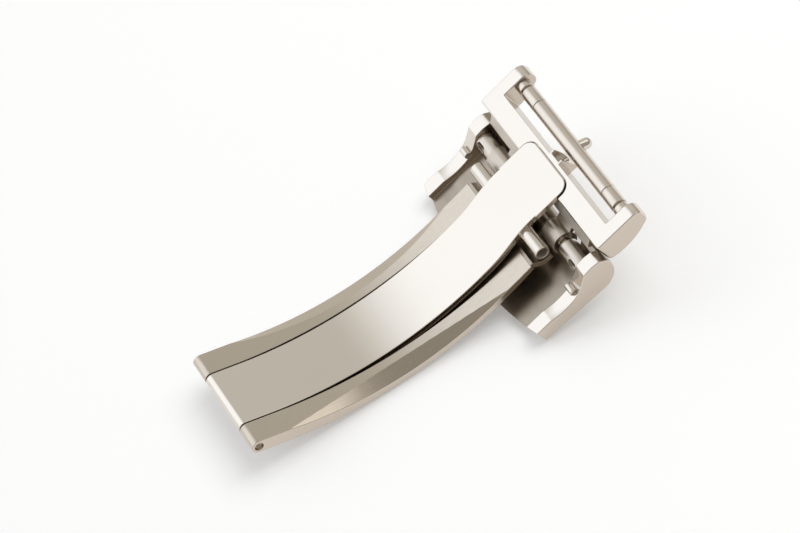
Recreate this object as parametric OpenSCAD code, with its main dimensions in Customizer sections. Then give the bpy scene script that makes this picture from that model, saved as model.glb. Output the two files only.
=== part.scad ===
// Folding strap clasp: a buckle frame with a swinging tang, two curved blades that
// fold on a pin, and a hinged cover that clamps the strap's other end.
// Millimetres. +X runs from the blade hinge to the buckle, +Y to the left, +Z up.
// The origin is the middle of the strap tube's bore.

/* [Strap and widths] */
// Strap width that fits between the arms of the buckle frame
strap_w = 18; // [17:0.5:22]
// Width of each arm of the buckle frame, across the strap
arm_w = 1.42; // [1.3:0.02:1.8]
// Width of the polished inner blade
inner_blade_w = 6.48; // [6:0.04:6.8]
// Width of the grooved outer blade
outer_blade_w = 11.6; // [11:0.1:12.4]

/* [Blade curve] */
// Straight length beside the blade hinge
flat_len = 2.65; // [2:0.05:4]
// Radius of the long curve along the inner blade's top
curve_r = 33; // [31:0.5:38]
// Angle that the long curve turns through
curve_a = 40; // [38:0.5:41]
// Radius of the tighter curve that follows it
rise_r = 12; // [11:0.25:13]
// Slope of the blade where it is steepest
rise_a = 50; // [49:0.25:51]
// Straight length at the steepest slope
rise_len = 1.5; // [1.3:0.1:1.8]
// Radius of the bend over the strap tube
bend_r = 9; // [8.5:0.25:9.5]
// Slope of the tongue and of the buckle frame's top face
tongue_a = 36.8; // [36:0.2:38]

/* [Blade sections] */
// Thickness of the inner blade
blade_t = 0.62; // [0.5:0.02:0.66]
// Height of both blades together at the hinge
stack_h = 1.37; // [1.37:0.01:1.6]
// Depth of the outer blade's channel below the inner blade's top
channel_depth = 0.95; // [0.92:0.01:1]
// Depth of the long bevels at the outer blade's sides
bevel_d = 0.47; // [0.3:0.01:0.55]

/* [Buckle frame] */
// Thickness of the buckle frame
frame_h = 2.6; // [2.5:0.05:3]
// Length of the frame's bar before the strap slot
bar_len = 1.97; // [1.9:0.01:2.2]
// Distance from the frame's front face to the buckle bar
buckle_bar_u = 3.73; // [3.6:0.01:4.2]
// Radius of the sleeves on the buckle bar
sleeve_r = 0.74; // [0.68:0.02:0.76]
// Radius of the tang
tang_r = 0.54; // [0.46:0.01:0.55]
// Length of the tang from the bar's axis
tang_len = 1.75; // [1.5:0.05:1.75]

/* [Strap cover] */
// Length of the cover from its hinge axis to the tip
cover_len = 8.35; // [8:0.05:10]
// Radius of the convex end of the cover
cover_end_r = 36.9; // [30:0.1:50]
// Height of the cover's floor surface below its hinge axis
cover_floor = 0.85; // [0.8:0.05:1.2]

/* [Bars and tube] */
// Outer radius of the strap tube
tube_r = 0.7; // [0.66:0.01:0.72]
// Bore radius of the strap tube
tube_bore_r = 0.53; // [0.5:0.01:0.54]
// Length of the strap tube
tube_len = 11.85; // [11:0.05:12]
// Travel of each sprung bar tip
tip_travel = 0.8; // [0.6:0.05:0.8]

/* [Hidden] */
$fn = 64;
run_gap = 0.05;
side_gap = 0.12;
half_w = strap_w / 2;
overall_w = strap_w + 2 * arm_w;

// Blade curve, with the hinge pin's axis at [0, 0] and points as [x, z]
knuckle_r = stack_h / 2;
function dir(a) = [cos(a), sin(a)];
function up(a) = [-sin(a), cos(a)];
c1 = [flat_len, knuckle_r + curve_r];
c2 = c1 - (curve_r - rise_r) * up(curve_a);
rise_end = c2 - rise_r * up(rise_a) + rise_len * dir(rise_a);
c3 = rise_end - bend_r * up(rise_a);
tube_drop = 1;
tube_a = tongue_a + 8.4;
tube_p = c3 + (bend_r - tube_drop) * up(tube_a);
function line(d) = concat(
  [[0, knuckle_r - d]],
  [for (i = [0:20]) c1 - (curve_r + d) * up(curve_a * i / 20)],
  [for (i = [1:6]) c2 - (rise_r + d) * up(curve_a + (rise_a - curve_a) * i / 6)],
  [for (i = [0:6]) c3 + (bend_r - d) * up(rise_a + (tongue_a - rise_a) * i / 6)]
);
function rev(l) = [for (i = [len(l) - 1:-1:0]) l[i]];

// Buckle coordinates [u, up]: u runs outward along the frame's top face, [0, 0] is
// the top front edge
cover_hinge_q = [-2.25, -2.65];
tube_q = cover_hinge_q + [-1.82, 1.715];
frame_o = tube_p - tube_q[0] * dir(tongue_a) - tube_q[1] * up(tongue_a);
function bk(q) = frame_o + q[0] * dir(tongue_a) + q[1] * up(tongue_a);
cover_hinge_p = bk(cover_hinge_q);
bend_q = tube_q + [0, tube_drop] + (bend_r - tube_drop) * [sin(8.4), 1 - cos(8.4)];
tongue_top = bend_q[1];
tongue_t = 0.5;
tongue_end = 1.51;
tongue_w = inner_blade_w + 0.22;
tongue_corner = 1;
recess_d = tongue_t - tongue_top + side_gap;

// Outer blade
rail_r = curve_r + 3.3;
rail_c = [flat_len, knuckle_r + rail_r];
rail_back = 1.6;
rail_end_a = atan2(tube_p[0] - c1[0], c1[1] - tube_p[1]) - rail_back / curve_r * 180 / PI;
rail_dc = rail_r - curve_r;
base_r = curve_r + stack_h;
rail_t = sqrt(rail_r * rail_r - pow(rail_dc * sin(rail_end_a), 2)) - rail_dc * cos(rail_end_a);
rail_top_p = c1 - rail_t * up(rail_end_a);
rail_top_a = atan2(rail_top_p[0] - rail_c[0], rail_c[1] - rail_top_p[1]);
channel_w = inner_blade_w + 2 * side_gap;
channel_end_w = channel_w + 0.74;
bevel_r = rail_r - 7;
bevel_slope = 0.336;
bevel_in = 1.6;
bevel_c = rail_c - (rail_r + bevel_d - bevel_r) * up(0.45 * rail_top_a);
pin_r = 0.3;
pin_len = outer_blade_w - 0.7;
cradle_r = 1.35;
cradle_t = 0.5;
cradle_w = 11.2;
cradle_a = 361.7 + atan2(rail_top_p[1] - tube_p[1], rail_top_p[0] - tube_p[0]);
root_knuckle_w = 6.3;
clip_r = tube_r + 0.06;
clip_t = 0.25;
catch_w = 4.8;
rivet_r = 0.3;
rivet_y = 1.2;

// Bars and cover
barrel_r = 1.08;
frame_barrel_r = 1.2;
cover_tube_r = 0.94;
cover_bar_r = 0.55;
cover_tip_r = 0.33;
buckle_bar_r = 0.5;
buckle_tip_r = 0.3;
tip_reach = tip_travel - run_gap;
tip_hole = 0.9;
tip_in = 1.5;
buckle_bar_q = [buckle_bar_u, -0.95];
nose_r = 1;
nose_u = buckle_bar_u + 0.32;
frame_corner = 0.35;
frame_knuckle_y = 4.4;
frame_knuckle_w = 2.2;
cover_tube_in = 6;
left_barrel_end = 6.6;
cover_tube_in_left = left_barrel_end + side_gap;
cover_r = 2.1;
cover_side = half_w - 0.01;
lip_w = 2 * cover_side - 0.5;
stud_r = 0.33;
stud_q = [-4.35, -2.62];
tang_a = 165;
tang_rest = 30;
groove_gap = 0.08;
tab_w = 1.6;
tab_h = 2.1;
sleeve_half = 6;

// Turns the whole clasp to the way it rests on a table
rest_tilt = 18;

// Helpers
module placed() {
  rotate([0, rest_tilt, 0]) translate([-tube_p[0], 0, -tube_p[1]]) children();
}
module in_buckle() {
  placed() translate([frame_o[0], 0, frame_o[1]]) rotate([0, -tongue_a, 0]) children();
}
module slab(w, y = 0) {
  translate([0, y, 0]) rotate([90, 0, 0]) linear_extrude(w, center = true) children();
}
module rod(p, r, w, y = 0) {
  translate([p[0], y, p[1]]) rotate([90, 0, 0]) cylinder(r = r, h = w, center = true);
}
module sleeve(p, r_out, r_in, y0, y1) {
  difference() {
    rod(p, r_out, abs(y1 - y0), (y0 + y1) / 2);
    rod(p, r_in, abs(y1 - y0) + 2, (y0 + y1) / 2);
  }
}
module arc_band(p, r_in, r_out, a0, a1) {
  translate(p) difference() {
    intersection() {
      circle(r = r_out);
      polygon(concat([[0, 0]], [for (i = [0:4]) 4 * r_out * dir(a0 + (a1 - a0) * i / 4)]));
    }
    circle(r = r_in);
  }
}
module coil(mean_r, wire_r, length, turns) {
  steps = 10;
  sides = 6;
  n = turns * steps;
  pts = [for (i = [0:n]) for (j = [0:sides - 1])
    let (a = 360 * i / steps, b = 360 * j / sides, r = mean_r + wire_r * cos(b))
    [r * cos(a), -length / 2 + length * i / n + wire_r * sin(b), r * sin(a)]];
  skin = [for (i = [0:n - 1]) for (j = [0:sides - 1]) for (k = [0, 1])
    let (p = i * sides + j, q = i * sides + (j + 1) % sides)
    k == 0 ? [p, p + sides, q + sides] : [p, q + sides, q]];
  ends = [[for (j = [0:sides - 1]) j], [for (j = [sides - 1:-1:0]) n * sides + j]];
  polyhedron(pts, concat(skin, ends), convexity = 8);
}

// Shared shapes
module tongue_plan(gap) {
  h = tongue_w / 2 + gap;
  e = tongue_end + gap;
  r = tongue_corner + gap;
  s = tongue_end - 4;
  polygon([[s, h], [e - r, h], [e, h - r], [e, r - h], [e - r, -h], [s, -h]]);
  for (k = [-1, 1]) translate([e - r, k * (h - r)]) circle(r = r);
}
module frame_profile() {
  intersection() {
    translate([1.75, 5.5 - frame_h]) circle(r = 5.5);
    union() {
      translate([0, -2 * frame_h]) square([nose_u, 2 * frame_h]);
      translate([nose_u, -nose_r]) circle(r = nose_r);
    }
  }
}
module frame_plan() {
  r = frame_corner;
  h = overall_w / 2;
  e = nose_u + nose_r;
  translate([r, -h]) square([e - 2 * r, 2 * h]);
  translate([0, r - h]) square([e, 2 * (h - r)]);
  for (u = [r, e - r]) for (k = [-1, 1]) translate([u, k * (h - r)]) circle(r = r);
}
module cover_outline() {
  h = cover_hinge_q;
  rear = h[0] + cover_r;
  bottom = h[1] - cover_r;
  tip = h[0] - cover_len - 0.4;
  intersection() {
    translate(h) circle(r = cover_r);
    translate([h[0], bottom - 1]) square([9, cover_r + 1]);
  }
  polygon(concat(
    [[h[0], bottom], [h[0], h[1]], [rear, h[1]], [rear, -2.3], [rear - 0.15, -1.9],
      [-0.62, -1.6], [-0.8, -1.43], [-1.6, -1.31], [-2.5, -1.4]],
    [for (i = [1:10]) let (t = i / 10)
      [-2.5 - 2.5 * t, -1.4 - 1.6 * (0.75 * sin(90 * t) + 0.25 * t)]],
    [for (i = [1:10]) let (t = i / 10)
      [-5 - 2.6 * t, -3 + 0.17 * t - 0.15 * sin(180 * t)]],
    [[tip, -2.86], [tip, bottom + 0.53]]
  ));
}

// Outer blade side
module outer_blade() {
  color([0.72, 0.69, 0.65])
  placed() difference() {
    union() {
      difference() {
        slab(outer_blade_w) {
          polygon(concat(
            [[0, -knuckle_r], [0, knuckle_r]],
            [for (i = [0:20]) rail_c - rail_r * up(rail_top_a * i / 20)],
            [for (i = [20:-1:0]) c1 - base_r * up(rail_end_a * i / 20)]
          ));
          circle(r = knuckle_r);
        }
        intersection() {
          slab(outer_blade_w) polygon(concat(
            [[-5, 40], [-5, knuckle_r - channel_depth]],
            [for (i = [0:22]) c1 - (curve_r + channel_depth) * up((rail_end_a + 3) * i / 22)],
            [[60, 40]]
          ));
          linear_extrude(80, center = true) polygon([[-5, -channel_w / 2],
            [flat_len, -channel_w / 2], [rail_top_p[0] + 1, -channel_end_w / 2],
            [rail_top_p[0] + 1, channel_end_w / 2], [flat_len, channel_w / 2],
            [-5, channel_w / 2]]);
        }
        for (s = [-1, 1])
          translate([bevel_c[0], s * (outer_blade_w / 2 - bevel_in), bevel_c[1]])
            rotate([-90 * s, 0, 0])
              cylinder(r1 = bevel_r - bevel_slope * bevel_in,
                r2 = bevel_r + bevel_slope * 0.5, h = bevel_in + 0.5, $fn = 180);
      }
      slab(cradle_w) arc_band(tube_p, cradle_r, cradle_r + cradle_t, cradle_a, 315);
      slab(root_knuckle_w - 0.1) polygon([tube_p + 1.6 * dir(-48),
        cover_hinge_p + 0.95 * dir(165), cover_hinge_p,
        cover_hinge_p + 0.98 * dir(-95), tube_p + 1.8 * dir(-62)]);
      rod(cover_hinge_p, barrel_r, root_knuckle_w);
    }
    rod(tube_p, cradle_r, 20);
    rod([0, 0], knuckle_r + 0.09, channel_w);
    rod([0, 0], pin_r, 20);
    for (s = [-1, 1]) rod([0, 0], pin_r + side_gap, 1, s * (pin_len + 1) / 2);
    rod(cover_hinge_p, cover_bar_r, 20);
    for (s = [-1, 1]) translate([tube_p[0], s * rivet_y, tube_p[1] - 3])
      cylinder(r = rivet_r, h = 3);
  }
}
module blade_hinge_pin() {
  color([0.55, 0.54, 0.52])
  placed() rod([0, 0], pin_r, pin_len);
}
module catch_spring() {
  color([0.62, 0.58, 0.52])
  placed() difference() {
    slab(catch_w) {
      arc_band(tube_p, clip_r, clip_r + clip_t, 215, 375);
      translate(tube_p) difference() {
        intersection() {
          circle(r = cradle_r);
          translate([-0.5, -2]) square([1, 2]);
        }
        circle(r = clip_r + 0.1);
      }
    }
    for (s = [-1, 1]) translate([tube_p[0], s * rivet_y, tube_p[1] - 3])
      cylinder(r = rivet_r, h = 3 - clip_r - side_gap);
  }
}
module catch_rivet(y) {
  base = cradle_r + cradle_t;
  placed() translate([tube_p[0], y, tube_p[1]]) {
    translate([0, 0, -base]) cylinder(r = rivet_r, h = base - clip_r - side_gap);
    translate([0, 0, -base - 0.12]) cylinder(r = rivet_r + 0.14, h = 0.12);
  }
}
module catch_rivet_left() { color([0.6, 0.58, 0.55]) catch_rivet(rivet_y); }
module catch_rivet_right() { color([0.6, 0.58, 0.55]) catch_rivet(-rivet_y); }

// Inner blade side
module inner_blade() {
  color([0.87, 0.85, 0.83])
  placed() difference() {
    union() {
      slab(inner_blade_w) {
        polygon(concat(line(0), [bk([bend_q[0] + 1, tongue_top]),
          bk([bend_q[0] + 1, tongue_top - blade_t])], rev(line(blade_t))));
        circle(r = knuckle_r);
      }
      translate([frame_o[0], 0, frame_o[1]]) rotate([0, -tongue_a, 0])
        translate([0, 0, tongue_top - tongue_t]) linear_extrude(tongue_t) tongue_plan(0);
    }
    rod([0, 0], pin_r + run_gap, 20);
    rod(tube_p, tube_r, 20);
  }
}
module strap_tube() {
  color([0.8, 0.78, 0.75])
  placed() sleeve(tube_p, tube_r, tube_bore_r, -tube_len / 2, tube_len / 2);
}

// Buckle frame and its bar
module buckle_frame() {
  color([0.85, 0.83, 0.8])
  in_buckle() difference() {
    union() {
      difference() {
        intersection() {
          slab(overall_w) frame_profile();
          linear_extrude(20, center = true) frame_plan();
        }
        translate([bar_len, -half_w, -5]) cube([10, strap_w, 10]);
      }
      slab(lip_w) difference() {
        polygon([[0.3, -0.28], [0, -0.28], [-0.72, -1.05], [-0.72, -1.6], [0.3, -2.2]]);
        translate(cover_hinge_q) circle(r = cover_r + side_gap);
      }
      slab(tab_w) intersection() {
        frame_profile();
        polygon([[bar_len - 0.2, 0], [bar_len + 0.45, 0], [bar_len + 1, -tab_h],
          [bar_len - 0.2, -tab_h]]);
      }
      for (s = [-1, 1]) {
        rod(cover_hinge_q, frame_barrel_r, frame_knuckle_w, s * frame_knuckle_y);
        slab(frame_knuckle_w, s * frame_knuckle_y) polygon([cover_hinge_q,
          cover_hinge_q + barrel_r * dir(18), [0.05, -1.9], [0.05, -1.25],
          cover_hinge_q + barrel_r * dir(38)]);
      }
      rod(cover_hinge_q, frame_barrel_r, left_barrel_end - frame_knuckle_y,
        (left_barrel_end + frame_knuckle_y) / 2);
    }
    translate([0, 0, -recess_d]) linear_extrude(5) tongue_plan(side_gap);
    slab(2 * overall_w) polygon([[-0.1, 0.1], [0.22, 0.1], [-0.1, -0.22]]);
    rod(cover_hinge_q, cover_bar_r + run_gap, 20);
    for (s = [-1, 1])
      rod(buckle_bar_q, buckle_tip_r + run_gap, 2 * tip_hole, s * half_w);
    translate([buckle_bar_q[0], 0, buckle_bar_q[1]]) rotate([0, -tang_a, 0]) {
      rotate([0, 90, 0]) cylinder(r = tang_r + groove_gap, h = tang_len + groove_gap);
      translate([0, -tang_r - groove_gap, -3])
        cube([tang_len + groove_gap, 2 * (tang_r + groove_gap), 3]);
    }
  }
}
module buckle_bar_body() {
  color([0.75, 0.73, 0.7])
  in_buckle() sleeve(buckle_bar_q, buckle_bar_r, buckle_tip_r + run_gap,
    run_gap - half_w, half_w - run_gap);
}
module buckle_bar_spring() {
  color([0.5, 0.5, 0.5])
  in_buckle() translate([buckle_bar_q[0], 0, buckle_bar_q[1]])
    coil(0.22, 0.06, 2 * (half_w - tip_in - 0.9), 16);
}
module buckle_bar_tip(s) {
  in_buckle() rod(buckle_bar_q, buckle_tip_r, tip_in + tip_reach,
    s * (half_w + (tip_reach - tip_in) / 2));
}
module buckle_bar_tip_left() { color([0.68, 0.67, 0.65]) buckle_bar_tip(1); }
module buckle_bar_tip_right() { color([0.68, 0.67, 0.65]) buckle_bar_tip(-1); }
module bar_collar(s) {
  in_buckle() sleeve(buckle_bar_q, sleeve_r, buckle_bar_r, s * (half_w - 0.75),
    s * (half_w - 0.03));
}
module bar_collar_left() { color([0.8, 0.78, 0.75]) bar_collar(1); }
module bar_collar_right() { color([0.8, 0.78, 0.75]) bar_collar(-1); }
module end_sleeve(s) {
  in_buckle() sleeve(buckle_bar_q, sleeve_r, buckle_bar_r, s * (sleeve_half + run_gap),
    s * (half_w - 1));
}
module end_sleeve_left() { color([0.8, 0.78, 0.75]) end_sleeve(1); }
module end_sleeve_right() { color([0.8, 0.78, 0.75]) end_sleeve(-1); }

// Tang
module tang_sleeve() {
  color([0.83, 0.81, 0.78])
  in_buckle() difference() {
    sleeve(buckle_bar_q, sleeve_r, buckle_bar_r + run_gap, -sleeve_half, sleeve_half);
    translate([buckle_bar_q[0], 0, buckle_bar_q[1]]) rotate([0, 90 + tang_rest, 0])
      cylinder(r = tang_r, h = 3);
  }
}
module tang_pin() {
  color([0.86, 0.84, 0.81])
  in_buckle() translate([buckle_bar_q[0], 0, buckle_bar_q[1]]) difference() {
    rotate([0, 90 + tang_rest, 0]) {
      cylinder(r = tang_r, h = tang_len - tang_r);
      translate([0, 0, tang_len - tang_r]) sphere(r = tang_r);
    }
    rod([0, 0], buckle_bar_r + run_gap, 4);
  }
}

// Strap cover and its bar
module cover_shell() {
  h = cover_hinge_q;
  color([0.83, 0.8, 0.76])
  in_buckle() difference() {
    intersection() {
      slab(overall_w) cover_outline();
      translate([h[0] - cover_len + cover_end_r, 0, -8])
        cylinder(r = cover_end_r, h = 16, $fn = 180);
    }
    slab(2 * cover_side) {
      translate([h[0] - 20, h[1] - cover_floor]) square([20, 9]);
      polygon([h, h + 9 * dir(25), h + 9 * dir(60), h + 9 * dir(91)]);
    }
    rod(h, frame_barrel_r + 0.22, 2 * cover_side);
    slab(11.5) {
      translate([h[0] + 0.05, -9]) square([9, 18]);
      translate([h[0] - 1, h[1] - cover_floor]) square([9, 9]);
    }
    for (s = [-1, 1]) {
      rod(h, cover_tip_r + run_gap, 2 * tip_hole, s * cover_side);
      rod(stud_q, stud_r, 2.1, s * cover_side);
    }
  }
}
module cover_tube(s, y0) {
  y1 = cover_side - 0.02;
  in_buckle() difference() {
    sleeve(cover_hinge_q, cover_tube_r, cover_bar_r + run_gap, s * y0, s * y1);
    translate([cover_hinge_q[0], s * (y1 - 0.78), cover_hinge_q[1]])
      rotate([0, -134, 0]) {
        for (k = [-1, 1]) translate([0, k * 0.26, 0]) rotate([0, 90, 0])
          cylinder(r = 0.34, h = 2);
        translate([0, -0.26, -0.34]) cube([2, 0.52, 0.68]);
      }
  }
}
module cover_tube_left() { color([0.78, 0.76, 0.72]) cover_tube(1, cover_tube_in_left); }
module cover_tube_right() { color([0.78, 0.76, 0.72]) cover_tube(-1, cover_tube_in); }
module cover_stud(s) {
  in_buckle() rod(stud_q, stud_r, 1.04, s * (cover_side + 0.53));
}
module cover_stud_left() { color([0.7, 0.68, 0.65]) cover_stud(1); }
module cover_stud_right() { color([0.7, 0.68, 0.65]) cover_stud(-1); }
module cover_bar_body() {
  color([0.7, 0.69, 0.67])
  placed() sleeve(cover_hinge_p, cover_bar_r, cover_tip_r + run_gap,
    run_gap - cover_side, cover_side - run_gap);
}
module cover_bar_spring() {
  color([0.5, 0.5, 0.5])
  placed() translate([cover_hinge_p[0], 0, cover_hinge_p[1]])
    coil(0.25, 0.06, 2 * (cover_side - tip_in - 0.9), 16);
}
module cover_bar_tip(s) {
  placed() rod(cover_hinge_p, cover_tip_r, tip_in + tip_reach,
    s * (cover_side + (tip_reach - tip_in) / 2));
}
module cover_bar_tip_left() { color([0.68, 0.67, 0.65]) cover_bar_tip(1); }
module cover_bar_tip_right() { color([0.68, 0.67, 0.65]) cover_bar_tip(-1); }

outer_blade();
blade_hinge_pin();
catch_spring();
catch_rivet_left();
catch_rivet_right();
cover_bar_body();
cover_bar_spring();
cover_bar_tip_left();
cover_bar_tip_right();
inner_blade();
strap_tube();
buckle_frame();
buckle_bar_body();
buckle_bar_spring();
buckle_bar_tip_left();
buckle_bar_tip_right();
bar_collar_left();
bar_collar_right();
end_sleeve_left();
end_sleeve_right();
tang_sleeve();
tang_pin();
cover_shell();
cover_tube_left();
cover_tube_right();
cover_stud_left();
cover_stud_right();
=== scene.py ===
"""Dresses the folding strap clasp: finished steel pieces, studio light and camera.

Lengths inside the classes are millimetres. A piece is shaped at that scale and brought
to metres when it is finished.
"""
import logging
import math
from dataclasses import dataclass, field
from enum import Enum
from typing import Callable, Iterator, Sequence

import bpy
from mathutils import Matrix, Vector


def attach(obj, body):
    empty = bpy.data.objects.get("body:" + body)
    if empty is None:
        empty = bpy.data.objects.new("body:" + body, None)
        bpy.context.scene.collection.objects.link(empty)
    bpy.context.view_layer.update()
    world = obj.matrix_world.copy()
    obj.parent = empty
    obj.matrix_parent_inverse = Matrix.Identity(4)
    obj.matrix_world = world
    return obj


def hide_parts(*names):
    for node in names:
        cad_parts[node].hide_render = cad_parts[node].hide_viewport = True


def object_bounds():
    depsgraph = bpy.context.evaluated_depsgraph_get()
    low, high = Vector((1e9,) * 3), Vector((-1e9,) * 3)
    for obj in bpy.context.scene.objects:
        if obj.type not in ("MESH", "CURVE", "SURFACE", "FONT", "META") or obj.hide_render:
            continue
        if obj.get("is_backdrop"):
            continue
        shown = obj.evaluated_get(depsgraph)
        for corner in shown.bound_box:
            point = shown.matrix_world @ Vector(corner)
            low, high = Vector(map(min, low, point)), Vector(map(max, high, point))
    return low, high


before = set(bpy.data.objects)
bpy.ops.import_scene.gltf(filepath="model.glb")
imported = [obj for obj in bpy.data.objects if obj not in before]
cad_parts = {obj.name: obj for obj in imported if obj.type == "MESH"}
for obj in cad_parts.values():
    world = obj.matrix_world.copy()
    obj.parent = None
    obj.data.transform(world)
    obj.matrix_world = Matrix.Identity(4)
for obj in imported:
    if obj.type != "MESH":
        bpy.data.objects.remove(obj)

LOG = logging.getLogger("clasp")
MM = 0.001

# The strap tube's place in the drawing that the clasp starts from, and how far that
# drawing turns when the clasp rests on a table
TUBE_IN_DRAWING = Vector((27.873, 0.0, 10.521))
REST_TILT = math.radians(18.0)

# Hinge axes and the strap tube's axis in the row frame, as X and Z in millimetres
BLADE_HINGE = (-29.54, -1.848)
COVER_HINGE = (2.276, -1.037)
TUBE_AXIS = (0.0, 0.0)

# How far from its axis a barrel on the cover's hinge reaches, in millimetres
BARREL_REACH = 1.25

# Least part along Y of a unit normal that counts as a side face's
SIDEWAYS = 0.9

# Cleaning of a copied shape: points closer than this are one, in millimetres, and faces
# that meet at less than this angle are one
MERGE_DISTANCE = 0.0006
FLAT_ANGLE = math.radians(0.4)

# Edges that bend more than this are rounded, with this many faces of this profile
EDGE_ANGLE = math.radians(32.0)
EDGE_SEGMENTS = 3
EDGE_PROFILE = 0.6

# Largest angle that is shaded as one surface
SMOOTH_ANGLE = math.radians(34.0)

# The span of the grain's noise that is spread over a finish's roughness, and the least
# roughness of any finish
GRAIN_SPAN = (0.3, 0.7)
LEAST_ROUGHNESS = 0.02

Colour = tuple[float, float, float]
FaceRule = Callable[[Vector, Vector], bool]


def rest_direction(v: Vector) -> Vector:
    """Turns a direction of the drawing frame to the clasp's rest on the table.

    Args:
        v: direction in the drawing frame, +X along the blade and +Z up.

    Returns:
        The same direction in the row frame.
    """
    c, s = math.cos(REST_TILT), math.sin(REST_TILT)
    return Vector((c * v.x + s * v.z, v.y, -s * v.x + c * v.z))


def rest_point(p: Vector) -> Vector:
    """Places a point of the drawing frame in the row frame, in millimetres.

    Args:
        p: point in the drawing frame.

    Returns:
        The point in the row frame, whose origin is the strap tube.
    """
    return rest_direction(p - TUBE_IN_DRAWING)


def axis_distance(p: Vector, axis: tuple[float, float]) -> float:
    """Measures how far a point is from an axis that runs along Y.

    Args:
        p: point in the row frame, in millimetres.
        axis: X and Z of the axis.

    Returns:
        The distance in millimetres.
    """
    return math.hypot(p.x - axis[0], p.z - axis[1])


def on_cover_hinge(centre: Vector, normal: Vector) -> bool:
    """Tells whether a face belongs to a barrel on the cover's hinge."""
    return axis_distance(centre, COVER_HINGE) < BARREL_REACH


def faces_sideways(centre: Vector, normal: Vector) -> bool:
    """Tells whether a face looks to the clasp's left or right."""
    return abs(normal.y) > SIDEWAYS


class Side(Enum):
    """The two sides of the clasp; the value is the end of the nodes' names."""

    LEFT = "left"
    RIGHT = "right"


# Finishes; the flank steel and the painted-shade steel hold painted shade in their tints


@dataclass(frozen=True)
class SteelFinish:
    """A steel surface: its tint, gloss and the marks of how it was finished; in two finishes
    the tint also holds painted shade.
    """

    name: str
    tint: Colour
    tint_deep: Colour
    roughness: float
    roughness_spread: float
    grain: tuple[float, float, float] = (900.0, 900.0, 900.0)
    grain_depth: float = 0.0
    cloud_scale: float = 160.0
    metal: float = 1.0

    def material(self) -> bpy.types.Material:
        """Makes the node material, once for each finish.

        Returns:
            The material.
        """
        made = bpy.data.materials.get(self.name)
        if made is not None:
            return made
        mat = bpy.data.materials.new(self.name)
        mat.use_nodes = True
        nodes, links = mat.node_tree.nodes, mat.node_tree.links
        shader = nodes["Principled BSDF"]
        shader.inputs["Metallic"].default_value = self.metal
        place = nodes.new("ShaderNodeTexCoord")
        turn = nodes.new("ShaderNodeMapping")
        turn.inputs["Rotation"].default_value = (0.0, -REST_TILT, 0.0)
        links.new(place.outputs["Object"], turn.inputs["Vector"])
        cloud = nodes.new("ShaderNodeTexNoise")
        cloud.inputs["Scale"].default_value = self.cloud_scale
        cloud.inputs["Detail"].default_value = 3.0
        links.new(turn.outputs["Vector"], cloud.inputs["Vector"])
        stretch = nodes.new("ShaderNodeMapping")
        stretch.inputs["Scale"].default_value = self.grain
        links.new(turn.outputs["Vector"], stretch.inputs["Vector"])
        grain = nodes.new("ShaderNodeTexNoise")
        grain.inputs["Scale"].default_value = 1.0
        grain.inputs["Detail"].default_value = 4.0
        grain.inputs["Roughness"].default_value = 0.65
        links.new(stretch.outputs["Vector"], grain.inputs["Vector"])
        tone = nodes.new("ShaderNodeMix")
        tone.data_type = "RGBA"
        tone.inputs["A"].default_value = (*self.tint_deep, 1.0)
        tone.inputs["B"].default_value = (*self.tint, 1.0)
        links.new(cloud.outputs["Fac"], tone.inputs["Factor"])
        links.new(tone.outputs["Result"], shader.inputs["Base Color"])
        gloss = nodes.new("ShaderNodeMapRange")
        least = max(self.roughness - self.roughness_spread, LEAST_ROUGHNESS)
        gloss.inputs["From Min"].default_value = GRAIN_SPAN[0]
        gloss.inputs["From Max"].default_value = GRAIN_SPAN[1]
        gloss.inputs["To Min"].default_value = least
        gloss.inputs["To Max"].default_value = self.roughness + self.roughness_spread
        links.new(grain.outputs["Fac"], gloss.inputs["Value"])
        links.new(gloss.outputs["Result"], shader.inputs["Roughness"])
        if self.grain_depth > 0:
            bump = nodes.new("ShaderNodeBump")
            bump.inputs["Strength"].default_value = 1.0
            bump.inputs["Distance"].default_value = self.grain_depth * MM
            links.new(grain.outputs["Fac"], bump.inputs["Height"])
            links.new(bump.outputs["Normal"], shader.inputs["Normal"])
        return mat


MIRROR_STEEL = SteelFinish(
    "mirror_finish", (0.74, 0.685, 0.62), (0.72, 0.66, 0.595), 0.10, 0.02,
)
# Side faces: a real finer grain and roughness, with the tint darkened and warmed as painted
# shade for the darker tan that side faces show
FLANK_GRAIN_PAINTED_SHADE_STEEL = SteelFinish(
    "flank_grain_painted_shade", (0.645, 0.57, 0.49), (0.615, 0.54, 0.46), 0.24, 0.03,
    grain=(500.0, 500.0, 500.0), grain_depth=0.0004,
)
SATIN_STEEL = SteelFinish(
    "satin_finish", (0.60, 0.535, 0.455), (0.57, 0.505, 0.43), 0.25, 0.04,
    grain=(260.0, 5200.0, 2600.0), grain_depth=0.0012,
)
TURNED_STEEL = SteelFinish(
    "turned_finish", (0.73, 0.675, 0.61), (0.70, 0.645, 0.58), 0.20, 0.03,
    grain=(300.0, 6000.0, 300.0), grain_depth=0.0005,
)
BARREL_STEEL = SteelFinish(
    "barrel_finish", (0.70, 0.64, 0.575), (0.66, 0.60, 0.535), 0.33, 0.04,
    grain=(400.0, 4000.0, 400.0), grain_depth=0.0008,
)
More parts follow.
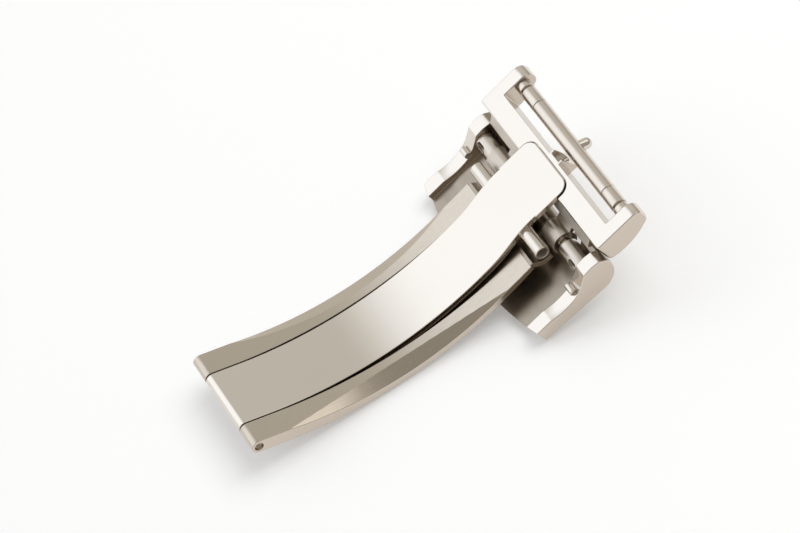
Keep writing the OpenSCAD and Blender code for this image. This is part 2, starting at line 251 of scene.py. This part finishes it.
# Painted shade: dark brown steel for the blade's channel and the cover's inside, standing in
# for the shade that falls in these recesses
PAINTED_SHADE_STEEL = SteelFinish(
    "painted_shade_steel", (0.44, 0.38, 0.315), (0.38, 0.325, 0.265), 0.34, 0.05,
    grain=(900.0, 400.0, 900.0), grain_depth=0.0008,
)
SLEEVE_STEEL = SteelFinish(
    "sleeve_finish", (0.72, 0.655, 0.585), (0.69, 0.625, 0.555), 0.25, 0.03,
    grain=(300.0, 6000.0, 300.0), grain_depth=0.0002,
)
LIP_STEEL = SteelFinish(
    "lip_finish", (0.70, 0.64, 0.57), (0.67, 0.61, 0.54), 0.38, 0.03,
    grain=(500.0, 500.0, 500.0), grain_depth=0.0004, metal=0.6,
)
SPRING_STEEL = SteelFinish(
    "spring_finish", (0.50, 0.46, 0.42), (0.40, 0.36, 0.33), 0.30, 0.05, grain_depth=0.0005,
)


# Modelling helpers


def select_only(obj: bpy.types.Object) -> None:
    """Makes a piece the only selected and active one."""
    bpy.ops.object.select_all(action="DESELECT")
    obj.select_set(True)
    bpy.context.view_layer.objects.active = obj


def rescale(obj: bpy.types.Object, factor: float) -> None:
    """Scales a piece's mesh about the row frame's origin."""
    select_only(obj)
    obj.scale = (factor, factor, factor)
    bpy.ops.object.transform_apply(location=True, rotation=True, scale=True)


def folds(mesh: bpy.types.Mesh) -> Iterator[tuple[bpy.types.MeshEdge, Vector, float]]:
    """Goes through the edges that join two faces.

    Args:
        mesh: the mesh.

    Yields:
        The edge, its middle and the angle between its two faces.
    """
    sides: dict[tuple[int, int], list[Vector]] = {}
    for poly in mesh.polygons:
        for key in poly.edge_keys:
            sides.setdefault(key, []).append(poly.normal.copy())
    for edge in mesh.edges:
        normals = sides.get(tuple(sorted(edge.vertices)), [])
        if len(normals) == 2:
            a, b = (mesh.vertices[i].co for i in edge.vertices)
            yield edge, (a + b) / 2, normals[0].angle(normals[1], 0.0)


def full(middle: Vector) -> float:
    """Gives every edge the full rounding."""
    return 1.0


def apply_bevel(
    obj: bpy.types.Object, width: float, ease: Callable[[Vector], float]
) -> None:
    """Rounds a piece's edges and keeps the piece inside its own box.

    Args:
        obj: the piece, at millimetre scale.
        width: how far the rounding reaches from the edge, in millimetres.
        ease: share of the width for an edge with a given middle.
    """
    select_only(obj)
    mesh = obj.data
    low = [min(v.co[axis] for v in mesh.vertices) for axis in range(3)]
    high = [max(v.co[axis] for v in mesh.vertices) for axis in range(3)]
    weights = mesh.attributes.new("bevel_weight_edge", "FLOAT", "EDGE")
    for edge, middle, bend in folds(mesh):
        if bend > EDGE_ANGLE:
            weights.data[edge.index].value = ease(middle)
    m = obj.modifiers.new("edge_round", "BEVEL")
    m.width = width
    m.segments = EDGE_SEGMENTS
    m.limit_method = "WEIGHT"
    m.use_clamp_overlap = False
    m.miter_outer = "MITER_ARC"
    m.profile = EDGE_PROFILE
    bpy.ops.object.modifier_apply(modifier=m.name)
    for vertex in obj.data.vertices:
        vertex.co = [min(max(vertex.co[axis], low[axis]), high[axis]) for axis in range(3)]


def shape_copy(
    node: str, bevel: float, ease: Callable[[Vector], float] = full
) -> bpy.types.Object:
    """Copies a frame node's shape as a new piece at millimetre scale and rounds its edges.

    Args:
        node: name of the frame node.
        bevel: edge rounding in millimetres.
        ease: share of the rounding for an edge with a given middle.

    Returns:
        The new piece, still at millimetre scale.
    """
    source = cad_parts[node]
    obj = bpy.data.objects.new(node + "_finished", source.data.copy())
    bpy.context.scene.collection.objects.link(obj)
    obj.data.materials.clear()
    rescale(obj, 1 / MM)
    bpy.ops.object.mode_set(mode="EDIT")
    bpy.ops.mesh.select_all(action="SELECT")
    bpy.ops.mesh.remove_doubles(threshold=MERGE_DISTANCE)
    bpy.ops.mesh.dissolve_limited(angle_limit=FLAT_ANGLE, delimit={"NORMAL"})
    bpy.ops.mesh.select_all(action="DESELECT")
    bpy.ops.object.mode_set(mode="OBJECT")
    apply_bevel(obj, bevel, ease)
    return obj


def dress_faces(
    obj: bpy.types.Object,
    finish: SteelFinish,
    others: Sequence[tuple[SteelFinish, FaceRule]] = (),
) -> None:
    """Gives a piece its finishes.

    Args:
        obj: the piece, at millimetre scale.
        finish: the finish of every face that no rule names.
        others: pairs of a finish and a rule on a face's centre and normal; where more
            than one rule names a face, the last one counts.
    """
    obj.data.materials.append(finish.material())
    for extra, _ in others:
        obj.data.materials.append(extra.material())
    for poly in obj.data.polygons:
        poly.material_index = 0
        for i, (_, rule) in enumerate(others):
            if rule(poly.center, poly.normal):
                poly.material_index = i + 1


def mark_creases(obj: bpy.types.Object, rule: Callable[[Vector], bool], angle: float) -> None:
    """Keeps shallow edges crisp, which smoothing by angle would hide.

    Args:
        obj: the piece, at millimetre scale.
        rule: tells from an edge's middle whether it may be marked.
        angle: smallest angle between the two faces, in degrees.
    """
    marked = 0
    for edge, middle, bend in folds(obj.data):
        if bend > math.radians(angle) and rule(middle):
            edge.use_edge_sharp = True
            marked += 1
    LOG.info("%s has %d marked edges", obj.name, marked)


def finish_piece(obj: bpy.types.Object, body: str, node: str) -> None:
    """Smooths a piece, brings it to metres and hands it to its body.

    Args:
        obj: the piece, at millimetre scale.
        body: the body that it moves with.
        node: the frame node that it stands for.
    """
    rescale(obj, MM)
    bpy.ops.object.shade_smooth_by_angle(angle=SMOOTH_ANGLE)
    even = obj.modifiers.new("even_normals", "WEIGHTED_NORMAL")
    even.keep_sharp = True
    for m in list(obj.modifiers):
        bpy.ops.object.modifier_apply(modifier=m.name)
    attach(obj, body)
    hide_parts(node)
    LOG.info("%s rides on %s with %d faces", obj.name, body, len(obj.data.polygons))


def add_piece(
    node: str, bevel: float, finish: SteelFinish, body: str,
    others: Sequence[tuple[SteelFinish, FaceRule]] = (),
) -> None:
    """Makes, dresses and hands over a piece that stands for a frame node.

    Args:
        node: name of the frame node.
        bevel: edge rounding in millimetres.
        finish: the finish of every face that no rule names.
        body: the body that it moves with.
        others: pairs of a finish and a rule on a face's centre and normal.
    """
    obj = shape_copy(node, bevel)
    dress_faces(obj, finish, others)
    finish_piece(obj, body, node)


def dress_node(node: str, finish: SteelFinish) -> None:
    """Gives a frame node that stays visible its finish."""
    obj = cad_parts[node]
    obj.data.materials.clear()
    obj.data.materials.append(finish.material())


# Sub-assemblies


@dataclass
class OuterBlade:
    """The wide satin blade with its channel, hinge pin and tube catch."""

    body: str = "outer"
    edge: float = 0.05
    pin_edge: float = 0.06
    catch_edge: float = 0.03
    flank_from: float = 5.7
    channel_half: float = 3.49
    crease_angle: float = 12.0
    crease_span: tuple[float, float] = (3.9, 5.74)
    hinge_clear: float = 1.2
    tube_clear: float = 2.5

    def _flank(self, centre: Vector, normal: Vector) -> bool:
        """Tells whether a face is one of the blade's outer side faces."""
        return faces_sideways(centre, normal) and abs(centre.y) > self.flank_from

    def _under(self, centre: Vector, normal: Vector) -> bool:
        """Tells whether a face looks down."""
        return normal.z < -0.3 and abs(normal.y) < 0.5

    def _channel(self, centre: Vector, normal: Vector) -> bool:
        """Tells whether a face lines the channel that the inner blade lies in; these faces get
        painted shade.
        """
        return abs(centre.y) < self.channel_half and normal.z > -0.2

    def _crease(self, middle: Vector) -> bool:
        """Tells whether an edge may be the line between a rail's flat and its bevel."""
        inner, outer = self.crease_span
        return (
            axis_distance(middle, BLADE_HINGE) > self.hinge_clear
            and axis_distance(middle, TUBE_AXIS) > self.tube_clear
            and inner < abs(middle.y) < outer
        )

    def build(self) -> None:
        """Builds the blade, its pin and the catch."""
        blade = shape_copy("outer_blade", self.edge)
        mark_creases(blade, self._crease, self.crease_angle)
        # Side faces take the flank steel with its painted shade, and the channel takes painted
        # shade
        dress_faces(blade, SATIN_STEEL, (
            (FLANK_GRAIN_PAINTED_SHADE_STEEL, self._flank),
            (BARREL_STEEL, on_cover_hinge),
            (PAINTED_SHADE_STEEL, self._channel),
            (MIRROR_STEEL, self._under),
        ))
        finish_piece(blade, self.body, "outer_blade")
        add_piece("blade_hinge_pin", self.pin_edge, TURNED_STEEL, self.body)
        add_piece("catch_spring", self.catch_edge, SPRING_STEEL, self.body)
        for side in Side:
            rivet = "catch_rivet_" + side.value
            add_piece(rivet, self.catch_edge, TURNED_STEEL, self.body)


@dataclass
class InnerBlade:
    """The narrow polished blade, its tongue and the strap tube under it."""

    body: str = "inner"
    edge: float = 0.05

    def _bore(self, centre: Vector, normal: Vector) -> bool:
        """Tells whether a face lines the tube."""
        return normal.x * centre.x + normal.z * centre.z < -0.1

    def build(self) -> None:
        """Builds the blade and the tube."""
        add_piece("inner_blade", self.edge, MIRROR_STEEL, self.body)
        bore = ((LIP_STEEL, self._bore),)
        add_piece("strap_tube", self.edge, TURNED_STEEL, self.body, bore)


@dataclass
class Buckle:
    """The buckle frame with the spring bar between its arms."""

    body: str = "buckle"
    edge: float = 0.09
    ring_edge: float = 0.04
    slot_half: float = 9.0
    slot_front: float = 6.6
    lip_back: float = 3.6
    eased_half: float = 8.6
    eased_share: float = 0.35

    def _ease(self, middle: Vector) -> float:
        """Rounds less around the hinge, the tongue's recess and the tang's groove."""
        eased = abs(middle.y) < self.eased_half and middle.x < self.slot_front
        return self.eased_share if eased else 1.0

    def _lip(self, centre: Vector, normal: Vector) -> bool:
        """Tells whether a face is on the frame's front, below its top edge."""
        on_front = abs(centre.y) < self.slot_half and centre.x < self.lip_back
        return on_front and (normal.x < -0.3 or normal.z < -0.3)

    def _slot(self, centre: Vector, normal: Vector) -> bool:
        """Tells whether a face is the slot's front wall."""
        in_slot = abs(centre.y) < self.slot_half and centre.x < self.slot_front
        return in_slot and normal.x > 0.85

    def build(self) -> None:
        """Builds the frame, the bar, the rings on it and its tips."""
        buckle = shape_copy("buckle_frame", self.edge, self._ease)
        # The frame's side faces take the flank steel with its painted shade
        dress_faces(buckle, MIRROR_STEEL, (
            (BARREL_STEEL, on_cover_hinge),
            (FLANK_GRAIN_PAINTED_SHADE_STEEL, faces_sideways),
            (LIP_STEEL, self._lip),
            (SATIN_STEEL, self._slot),
        ))
        finish_piece(buckle, self.body, "buckle_frame")
        add_piece("buckle_bar_body", self.ring_edge, TURNED_STEEL, self.body)
        for side in Side:
            for ring in ("bar_collar_", "end_sleeve_"):
                add_piece(
                    ring + side.value, self.ring_edge, SLEEVE_STEEL, self.body
                )
            add_piece(
                "buckle_bar_tip_" + side.value, self.ring_edge, TURNED_STEEL,
                "buckle_tip_" + side.value,
            )
        dress_node("buckle_bar_spring", SPRING_STEEL)


@dataclass
class Tang:
    """The turning sleeve and its tang."""

    body: str = "tang"
    edge: float = 0.04

    def build(self) -> None:
        """Builds the sleeve and the tang."""
        add_piece("tang_sleeve", self.edge, SLEEVE_STEEL, self.body)
        add_piece("tang_pin", self.edge, MIRROR_STEEL, self.body)


@dataclass
class StrapCover:
    """The hinged cover with its tubes, studs and spring bar."""

    body: str = "cover"
    edge: float = 0.07
    tube_edge: float = 0.05
    inside_half: float = 9.01

    def _inside(self, centre: Vector, normal: Vector) -> bool:
        """Tells whether a face is inside the cover, on its floor or its walls; these faces get
        painted shade.
        """
        if abs(centre.y) > self.inside_half:
            return False
        return normal.z > 0.1 or normal.x < -0.1 or faces_sideways(centre, normal)

    def build(self) -> None:
        """Builds the cover and everything on its hinge line."""
        # The cover's inside takes painted shade, and its side faces take the flank steel with
        # its painted shade
        add_piece(
            "cover_shell", self.edge, MIRROR_STEEL, self.body,
            ((PAINTED_SHADE_STEEL, self._inside), (FLANK_GRAIN_PAINTED_SHADE_STEEL, faces_sideways)),
        )
        for side in Side:
            for part, finish in (("cover_tube_", BARREL_STEEL), ("cover_stud_", TURNED_STEEL)):
                add_piece(part + side.value, self.tube_edge, finish, self.body)
            add_piece(
                "cover_bar_tip_" + side.value, self.tube_edge, TURNED_STEEL,
                "cover_tip_" + side.value,
            )
        add_piece("cover_bar_body", self.tube_edge, TURNED_STEEL, "outer")
        dress_node("cover_bar_spring", SPRING_STEEL)


# Studio


@dataclass(frozen=True)
class Wall:
    """A soft-edged patch of the studio around the clasp.

    The edge fades in between two cosines of the angle to the patch's middle.
    """

    towards: tuple[float, float, float]
    start: float
    full: float
    colour: Colour


@dataclass
class Studio:
    """The floor, the light and the camera.

    Angles are radians and the camera's distance and target are millimetres of the
    drawing; the floor's and the lamp's sizes are metres. The lamp's direction is its
    share of the camera's right, up and back.
    """

    image_width: float = 800.0
    image_height: float = 533.0
    azimuth: float = 0.482968
    elevation: float = 0.802851
    distance: float = 400.0
    pixels_per_mm: float = 11.505
    target: Vector = field(default_factory=lambda: Vector((15.0, 0.0, 6.0)))
    target_pixel: tuple[float, float] = (378.82, 295.87)
    sensor_width: float = 36.0
    clip: tuple[float, float] = (0.01, 20.0)
    floor_size: float = 3.0
    floor_colour: Colour = (0.845, 0.86, 0.885)
    floor_roughness: float = 0.9
    floor_lift: float = 0.22
    key_direction: tuple[float, float, float] = (0.15, 0.9, 0.7)
    key_distance: float = 0.6
    key_size: float = 0.5
    key_power: float = 1.55
    key_colour: Colour = (1.0, 0.99, 0.975)
    wall_colour: Colour = (0.68, 0.67, 0.62)
    walls: tuple[Wall, ...] = (
        Wall((0.0, 0.0, -1.0), -0.35, -0.1, (0.90, 0.88, 0.84)),
        Wall((1.0, 0.3, 0.3), 0.65, 0.9, (0.50, 0.47, 0.42)),
        Wall((-0.85, 0.15, 0.5), 0.56, 0.83, (1.32, 1.38, 1.46)),
        Wall((0.0, -1.0, 0.35), -0.35, 0.05, (0.40, 0.38, 0.34)),
        Wall((0.33, 0.03, 0.94), 0.93, 0.975, (1.3, 1.28, 1.22)),
    )

    def axes(self) -> tuple[Vector, Vector, Vector]:
        """Works out the camera's directions in the row frame.

        Returns:
            The directions to the right, up and back towards the camera.
        """
        a, e = self.azimuth, self.elevation
        right = Vector((math.cos(a), -math.sin(a), 0.0))
        back = Vector((-math.sin(a) * math.cos(e), -math.cos(a) * math.cos(e), math.sin(e)))
        up = back.cross(right)
        return rest_direction(right), rest_direction(up), rest_direction(back)

    def camera(self) -> None:
        """Makes the camera at the photograph's viewing angle."""
        right, up, back = self.axes()
        data = bpy.data.cameras.new("camera")
        data.sensor_width = self.sensor_width
        data.lens = self.pixels_per_mm * self.distance / self.image_width * data.sensor_width
        data.shift_x = (self.image_width / 2 - self.target_pixel[0]) / self.image_width
        data.shift_y = (self.target_pixel[1] - self.image_height / 2) / self.image_width
        data.clip_start, data.clip_end = self.clip
        cam = bpy.data.objects.new("camera", data)
        bpy.context.scene.collection.objects.link(cam)
        place = (rest_point(self.target) + back * self.distance) * MM
        turn = Matrix((right, up, back)).transposed()
        cam.matrix_world = Matrix.Translation(place) @ turn.to_4x4()
        bpy.context.scene.camera = cam

    def floor(self, height: float) -> None:
        """Lays the pale floor under the clasp, a little brighter to the eye than it is lit.

        Args:
            height: the floor's height in the row frame, in metres.
        """
        bpy.ops.object.select_all(action="DESELECT")
        bpy.ops.mesh.primitive_plane_add(size=self.floor_size, location=(0.0, 0.0, height))
        plane = bpy.context.object
        plane.name = "studio_floor"
        bpy.ops.object.transform_apply(location=True, rotation=True, scale=True)
        mat = bpy.data.materials.new("studio_floor")
        mat.use_nodes = True
        nodes, links = mat.node_tree.nodes, mat.node_tree.links
        shader = nodes["Principled BSDF"]
        shader.inputs["Base Color"].default_value = (*self.floor_colour, 1.0)
        shader.inputs["Roughness"].default_value = self.floor_roughness
        shader.inputs["Specular IOR Level"].default_value = 0.0
        rays = nodes.new("ShaderNodeLightPath")
        seen = nodes.new("ShaderNodeMath")
        seen.operation = "MAXIMUM"
        links.new(rays.outputs["Is Camera Ray"], seen.inputs[0])
        links.new(rays.outputs["Is Glossy Ray"], seen.inputs[1])
        lift = nodes.new("ShaderNodeMath")
        lift.operation = "MULTIPLY"
        lift.inputs[1].default_value = self.floor_lift
        links.new(seen.outputs[0], lift.inputs[0])
        shader.inputs["Emission Color"].default_value = (1.0, 1.0, 1.0, 1.0)
        links.new(lift.outputs[0], shader.inputs["Emission Strength"])
        plane.data.materials.append(mat)
        plane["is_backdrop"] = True

    def lamp(self) -> None:
        """Hangs the soft square lamp that casts the clasp's shadow on the floor."""
        right, up, back = self.axes()
        aside, above, near = self.key_direction
        towards = aside * right + above * up + near * back
        data = bpy.data.lights.new("key_lamp", "AREA")
        data.shape = "SQUARE"
        data.size = self.key_size
        data.energy = self.key_power
        data.color = self.key_colour
        lamp = bpy.data.objects.new("key_lamp", data)
        lamp.visible_glossy = False
        bpy.context.scene.collection.objects.link(lamp)
        lamp.location = towards.normalized() * self.key_distance
        lamp.rotation_euler = towards.to_track_quat("Z", "Y").to_euler()

    def world(self) -> None:
        """Surrounds the clasp with the soft walls of a studio, each over the ones before."""
        world = bpy.data.worlds.new("studio")
        bpy.context.scene.world = world
        world.use_nodes = True
        nodes, links = world.node_tree.nodes, world.node_tree.links
        place = nodes.new("ShaderNodeTexCoord")
        seen = None
        for wall in self.walls:
            aim = nodes.new("ShaderNodeVectorMath")
            aim.operation = "DOT_PRODUCT"
            aim.inputs[1].default_value = rest_direction(Vector(wall.towards).normalized())
            links.new(place.outputs["Generated"], aim.inputs[0])
            edge = nodes.new("ShaderNodeMapRange")
            edge.interpolation_type = "SMOOTHSTEP"
            edge.inputs["From Min"].default_value = wall.start
            edge.inputs["From Max"].default_value = wall.full
            links.new(aim.outputs["Value"], edge.inputs["Value"])
            mix = nodes.new("ShaderNodeMix")
            mix.data_type = "RGBA"
            mix.inputs["A"].default_value = (*self.wall_colour, 1.0)
            mix.inputs["B"].default_value = (*wall.colour, 1.0)
            links.new(edge.outputs["Result"], mix.inputs["Factor"])
            if seen is not None:
                links.new(seen.outputs["Result"], mix.inputs["A"])
            seen = mix
        links.new(seen.outputs["Result"], nodes["Background"].inputs["Color"])
        nodes["Background"].inputs["Strength"].default_value = 1.0

    def build(self) -> None:
        """Makes the whole studio."""
        self.camera()
        self.floor(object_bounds()[0].z)
        self.world()
        self.lamp()
        bpy.context.scene.view_settings.view_transform = "Standard"


def main() -> None:
    """Builds every sub-assembly and the studio."""
    logging.basicConfig(level=logging.INFO, format="%(message)s")
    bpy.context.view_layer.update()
    for part in (OuterBlade(), InnerBlade(), Buckle(), Tang(), StrapCover()):
        part.build()
    Studio().build()


if __name__ == "__main__":
    main()
